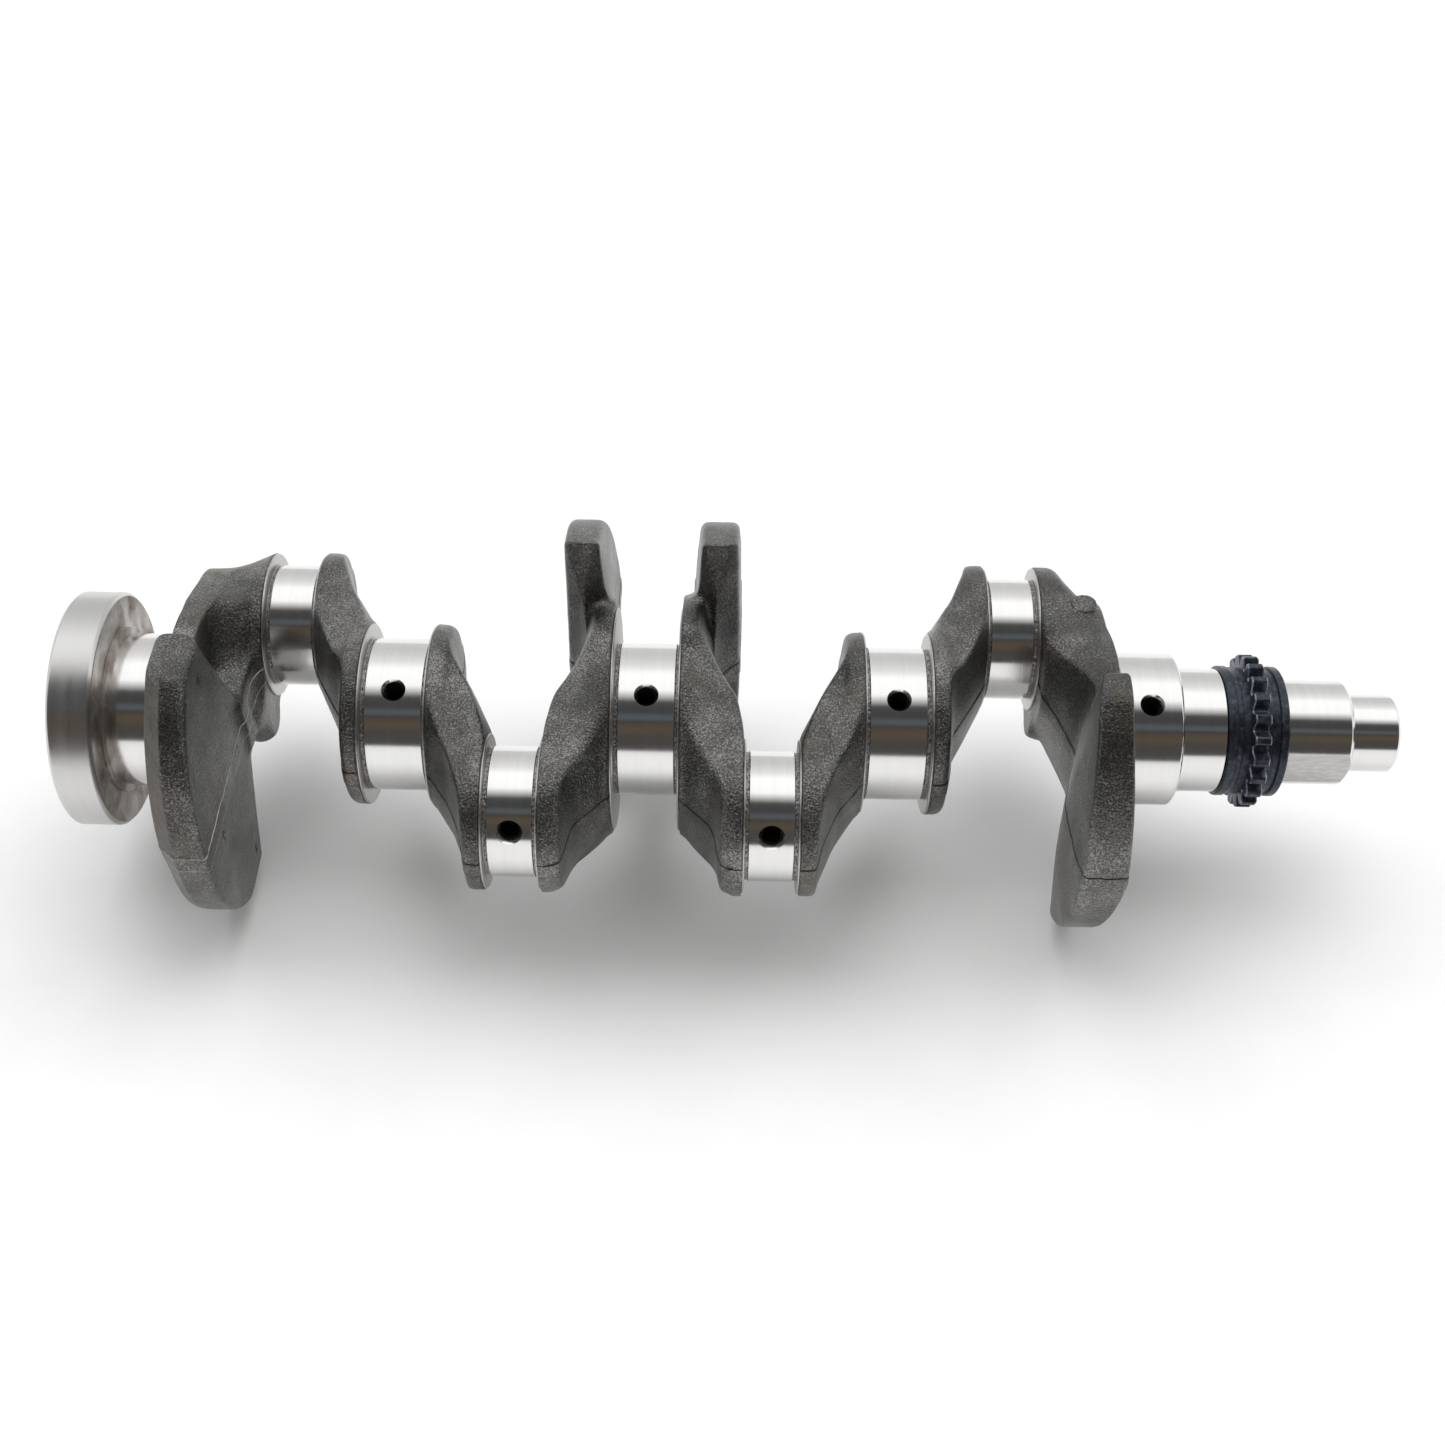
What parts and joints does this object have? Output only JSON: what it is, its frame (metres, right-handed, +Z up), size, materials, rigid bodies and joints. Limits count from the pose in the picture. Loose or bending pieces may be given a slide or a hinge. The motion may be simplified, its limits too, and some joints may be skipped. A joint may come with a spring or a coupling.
{
  "type": "crankshaft",
  "caption": "Forged engine crankshaft with ground journals, slanted webs, fan-shaped counterweights, a round flywheel flange and a chain sprocket.",
  "frame": {"origin": "on the crank axis at the centre of the middle main journal", "axes": "+X along the crank axis towards the snout and pulley end, +Y from the axis towards crankpins 1 and 4, +Z up, square to the plane of the throws"},
  "size_m": [0.4813, 0.1468, 0.1414],
  "materials": {
    "ground_steel": "ground and polished",
    "forged_steel": "raw shot-blasted forging",
    "black_oxide_steel": "black oxide"
  },
  "bodies": {
    "root": {"flywheel_flange": "ground_steel", "main_journal_1": "ground_steel", "main_journal_2": "ground_steel", "main_journal_3": "ground_steel", "main_journal_4": "ground_steel", "main_journal_5": "ground_steel", "crankpin_1": "ground_steel", "crankpin_2": "ground_steel", "crankpin_3": "ground_steel", "crankpin_4": "ground_steel", "crank_web_1": "forged_steel", "counterweight_1": "forged_steel", "crank_web_2": "forged_steel", "crank_web_3": "forged_steel", "crank_web_4": "forged_steel", "counterweight_4": "forged_steel", "crank_web_5": "forged_steel", "counterweight_5": "forged_steel", "crank_web_6": "forged_steel", "crank_web_7": "forged_steel", "crank_web_8": "forged_steel", "counterweight_8": "forged_steel", "sprocket_shoulder": "ground_steel", "sprocket_seat": "ground_steel", "pulley_seat": "ground_steel", "snout_nose": "ground_steel", "sprocket_rear_collar": "black_oxide_steel", "timing_sprocket": "black_oxide_steel", "sprocket_front_collar": "black_oxide_steel"}
  },
  "joints": []
}
